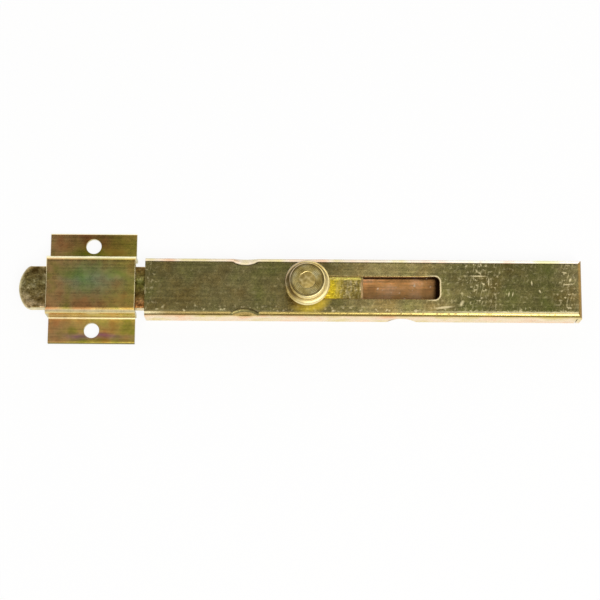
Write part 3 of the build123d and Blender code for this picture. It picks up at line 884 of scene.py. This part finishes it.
# Painted reflection of the knob: yellow on the tail beside the stud.
stud_reflection_mask = node(tree, "ShaderNodeMapRange", {
    "Value": spot.outputs["X"], "From Min": -7.0, "From Max": -11.0, "To Max": 0.9})
stud_reflection_mask = node(tree, "ShaderNodeMath", {0: stud_reflection_mask, 1: rub_and_reflection_mask}, operation="MULTIPLY")
knob_reflected = node(tree, "ShaderNodeMix", {
    0: stud_reflection_mask, 6: tailed.outputs[2], 7: linear("#FFE238")}, data_type="RGBA")
# Painted highlight: a pale line along the slot's far rim.
rim_highlight_line = node(tree, "ShaderNodeMapRange", {
    "Value": spot.outputs["Y"], "From Min": 2.9, "From Max": 3.5})
rim_highlight_line = node(tree, "ShaderNodeMath", {0: rim_highlight_line, 1: rub_and_reflection_mask}, operation="MULTIPLY")
rim_highlighted = node(tree, "ShaderNodeMix", {
    0: rim_highlight_line, 6: knob_reflected.outputs[2], 7: linear("#FFEC80")}, data_type="RGBA")
facing = node(tree, "ShaderNodeSeparateXYZ", {0: where.outputs["Normal"]})
# Painted highlight on the bar's rounded edges.
edge_highlight = node(tree, "ShaderNodeMapRange", {
    "Value": facing.outputs["Z"], "From Min": 0.80, "From Max": 0.20, "To Max": 0.8})
bolt_tone = node(tree, "ShaderNodeMix", {
    0: edge_highlight, 6: rim_highlighted.outputs[2], 7: linear("#F0E0A8")}, data_type="RGBA")
# Painted highlight on the cropped end.
tail_end_highlight = node(tree, "ShaderNodeMapRange", {
    "Value": facing.outputs["X"], "From Min": 0.25, "From Max": 0.42, "To Max": 0.6})
ended = node(tree, "ShaderNodeMix", {
    0: tail_end_highlight, 6: bolt_tone.outputs[2], 7: linear("#D0AC84")}, data_type="RGBA")
rim_wear = node(tree, "ShaderNodeMath", {0: rim_highlight_line, 1: RIM_WEAR}, operation="MULTIPLY")
bolt_wear = node(tree, "ShaderNodeMath", {0: rim_wear, 1: tail_end_highlight}, operation="MAXIMUM")
bolt_bright = unevenness(
    tree, in_mm, spot_mm=1.6, spot=0.9, speck_mm=0.5, speck=0.7, line_mm=0.9, line=0.3)
lay_plating(tree, shader, ended.outputs[2], bolt_bright,
            rough=0.32, relief_mm=0.16, wear=bolt_wear)
nodes["bolt_bar"].material_slots[0].material = bolt_zinc
print(bolt_zinc.name, "with", len(tree.nodes), "nodes")

# %% [markdown]
# The back plate shows only through the slot. The bath drains badly inside the box, so the plate
# came out dull and pinkish brown, with a few pale specks. Its shading is painted: brighter towards
# the far side, with painted shadow under the slot's far edge and at the slot's end. A high
# roughness lets it pick up the softbox.

# %% Back plate finish
PLATE_CLOUD_MM = 6.0
PLATE_SPECK_MM = 1.6
plate_zinc, tree, shader, where, in_mm = new_metal("dull_brown_zinc")
spot = node(tree, "ShaderNodeSeparateXYZ", {0: in_mm})
clouds = node(tree, "ShaderNodeTexNoise", {
    "Vector": in_mm, "Scale": 1 / PLATE_CLOUD_MM, "Detail": 4.0})
tone = node(tree, "ShaderNodeValToRGB", {0: clouds}, stops=[
    (0.35, linear("#BC8F5C")),
    (0.50, linear("#DAA86C")),
    (0.65, linear("#E8BA8A")),
])
plate_place = node(tree, "ShaderNodeMapRange", {
    "Value": spot.outputs["Y"], "From Min": -4.5, "From Max": 5.5})
# Painted shade: brighter towards the far side, with a dark painted shadow under the slot's far
# edge.
plate_shade = node(tree, "ShaderNodeValToRGB", {0: plate_place}, stops=[
    (0.09, linear("#D2D6D0")),
    (0.50, linear("#E0DCD8")),
    (0.72, linear("#FFFAF4")),
    (0.90, linear("#FFFAF4")),
    (0.94, linear("#4A3A30")),
])
shaded = node(tree, "ShaderNodeMix", {
    0: 1.0, 6: tone, 7: plate_shade}, data_type="RGBA", blend_type="MULTIPLY")
# Painted shadow at the slot's end.
slot_end_shadow = node(tree, "ShaderNodeMapRange", {
    "Value": spot.outputs["X"], "From Min": 25.6, "From Max": 26.8})
end_shadowed = node(tree, "ShaderNodeMix", {
    0: slot_end_shadow, 6: shaded.outputs[2], 7: linear("#3A2414")}, data_type="RGBA")
speck_noise = node(tree, "ShaderNodeTexNoise", {
    "Vector": in_mm, "Scale": 1 / PLATE_SPECK_MM, "Detail": 1.0})
specks = node(tree, "ShaderNodeMapRange", {
    "Value": speck_noise, "From Min": 0.68, "From Max": 0.76, "To Max": 0.8})
plate_tone = node(tree, "ShaderNodeMix", {
    0: specks, 6: end_shadowed.outputs[2], 7: linear("#F0DCC0")}, data_type="RGBA")
plate_bright = unevenness(
    tree, in_mm, spot_mm=1.8, spot=0.7, speck_mm=0.7, speck=0.6, line_mm=0.7, line=1.2)
lay_plating(tree, shader, plate_tone.outputs[2], plate_bright, rough=0.55, relief_mm=0.04)
nodes["back_plate"].material_slots[0].material = plate_zinc
print(plate_zinc.name, "with", len(tree.nodes), "nodes")

# %% [markdown]
# The knob was turned, so its unevenness runs in rings round its axis. A wave texture in rings about
# the knob's own axis, moved there by a Mapping node, gives the tool marks; the lathe feeds about
# half a millimetre a turn, a little coarser than a real finishing cut so that it shows. A brown
# line lies at the edge of the face.

# %% Knob turning
KNOB_CLOUD_MM = 3.5
RING_SCALE = 0.6  # a ring wave turns 20 radians times its scale a millimetre: rings 0.52 mm apart
knob_zinc, tree, shader, where, in_mm = new_metal("bright_yellow_zinc_on_turned_steel")
centred = node(tree, "ShaderNodeMapping", {"Vector": in_mm, "Location": (-knob_axis / MM, 0, 0)})
tool_marks = node(tree, "ShaderNodeTexWave", {
    "Vector": centred, "Scale": RING_SCALE, "Distortion": 1.2, "Detail": 2.0,
    "Detail Scale": 0.6}, wave_type="RINGS", rings_direction="Z")
clouds = node(tree, "ShaderNodeTexNoise", {
    "Vector": in_mm, "Scale": 1 / KNOB_CLOUD_MM, "Detail": 4.0})
tone = node(tree, "ShaderNodeValToRGB", {0: clouds}, stops=[
    (0.35, linear("#B89E58")),
    (0.50, linear("#DCC478")),
    (0.65, linear("#F0E0A4")),
])
ringed = node(tree, "ShaderNodeMapRange", {
    "Value": tool_marks.outputs[1], "To Min": 0.92, "To Max": 1.08})
knob_even = unevenness(
    tree, in_mm, spot_mm=1.4, spot=0.5, speck_mm=0.4, speck=0.35, line_mm=0.9, line=0.0)
knob_bright = node(tree, "ShaderNodeMath", {0: ringed, 1: knob_even}, operation="MULTIPLY")
facing = node(tree, "ShaderNodeSeparateXYZ", {0: where.outputs["Normal"]})
from_axis = node(tree, "ShaderNodeVectorMath", {0: centred, 1: (1, 1, 0)}, operation="MULTIPLY")
from_axis = node(tree, "ShaderNodeVectorMath", {0: from_axis}, operation="LENGTH")
face_edge = node(tree, "ShaderNodeMapRange", {
    "Value": from_axis.outputs["Value"], "From Min": 5.0, "From Max": 5.7, "To Max": 0.75})
on_face = node(tree, "ShaderNodeMapRange", {
    "Value": facing.outputs["Z"], "From Min": 0.90, "From Max": 0.97})
browned = node(tree, "ShaderNodeMath", {0: face_edge, 1: on_face}, operation="MULTIPLY")
lined = node(tree, "ShaderNodeMix", {0: browned, 6: tone, 7: linear("#6E5A38")}, data_type="RGBA")
print("knob: tool marks round x", round(knob_axis / MM, 2), "mm")

# %% [markdown]
# The knob's near right side gets painted highlights and its far left painted shade: pale where the
# Normal turns to the near right, dull brown where it turns away, and pale painted highlights on the
# near right rims, which are also rougher. One direction serves both: the Normal along it tells the
# sides apart, and the place along it tells where the rims get their highlight.

# %% Knob painted highlights and shade
LIT_SIDE_WAY = (0.71, -0.71, 0.0)
lit_facing = node(tree, "ShaderNodeVectorMath", {
    0: where.outputs["Normal"], 1: LIT_SIDE_WAY}, operation="DOT_PRODUCT")
# Painted shade on the far left, painted highlight on the near right.
shaded_side = node(tree, "ShaderNodeMapRange", {
    "Value": lit_facing.outputs["Value"], "From Min": -0.10, "From Max": -0.60, "To Max": 0.8})
toned_down = node(tree, "ShaderNodeMix", {
    0: shaded_side, 6: lined.outputs[2], 7: linear("#A08C78")}, data_type="RGBA")
lit_side = node(tree, "ShaderNodeMapRange", {
    "Value": lit_facing.outputs["Value"], "From Min": 0.15, "From Max": 0.60, "To Max": 0.8})
lit_side_tone = node(tree, "ShaderNodeMix", {
    0: lit_side, 6: toned_down.outputs[2], 7: linear("#FFF0BC")}, data_type="RGBA")
lit_side_place = node(tree, "ShaderNodeVectorMath", {0: centred, 1: LIT_SIDE_WAY}, operation="DOT_PRODUCT")
# Painted highlight on the near right rims.
rim_lit_place = node(tree, "ShaderNodeMapRange", {
    "Value": lit_side_place.outputs["Value"], "From Min": -1.0, "From Max": 5.0})
on_rims = node(tree, "ShaderNodeMapRange", {
    "Value": from_axis.outputs["Value"], "From Min": 5.8, "From Max": 6.2, "To Max": 0.45})
rim_highlight_and_wear = node(tree, "ShaderNodeMath", {0: rim_lit_place, 1: on_rims}, operation="MULTIPLY")
rim_highlight_tone = node(tree, "ShaderNodeMix", {
    0: rim_highlight_and_wear, 6: lit_side_tone.outputs[2], 7: linear("#FFEDB0")}, data_type="RGBA")
lay_plating(tree, shader, rim_highlight_tone.outputs[2], knob_bright,
            rough=0.27, relief_mm=0.02, wear=rim_highlight_and_wear)
turned_knob.data.materials.append(knob_zinc)
nodes["knob"].material_slots[0].material = knob_zinc
print(knob_zinc.name, "with", len(tree.nodes), "nodes")

# %% [markdown]
# The stud's end was peened over with a hammer in the knob's countersink. That leaves shallow round
# dents about a millimetre across, which scatter the light, so it is duller and darker than the
# turned face. A smooth Voronoi texture gives the tones of such cells.

# %% Stud finish
PEEN_MM = 1.1
stud_zinc, tree, shader, where, in_mm = new_metal("yellow_zinc_on_peened_rivet")
dents = node(tree, "ShaderNodeTexVoronoi", {
    "Vector": in_mm, "Scale": 1 / PEEN_MM}, feature="SMOOTH_F1")
tone = node(tree, "ShaderNodeValToRGB", {0: dents}, stops=[
    (0.10, linear("#94804A")),
    (0.45, linear("#B09A5C")),
    (0.80, linear("#D6C48C")),
])
stud_bright = unevenness(
    tree, in_mm, spot_mm=1.0, spot=0.6, speck_mm=0.4, speck=0.4, line_mm=0.9, line=0.0)
lay_plating(tree, shader, tone, stud_bright, rough=0.50, relief_mm=0.04)
nodes["knob_stud"].material_slots[0].material = stud_zinc
print(stud_zinc.name, "with", len(tree.nodes), "nodes")
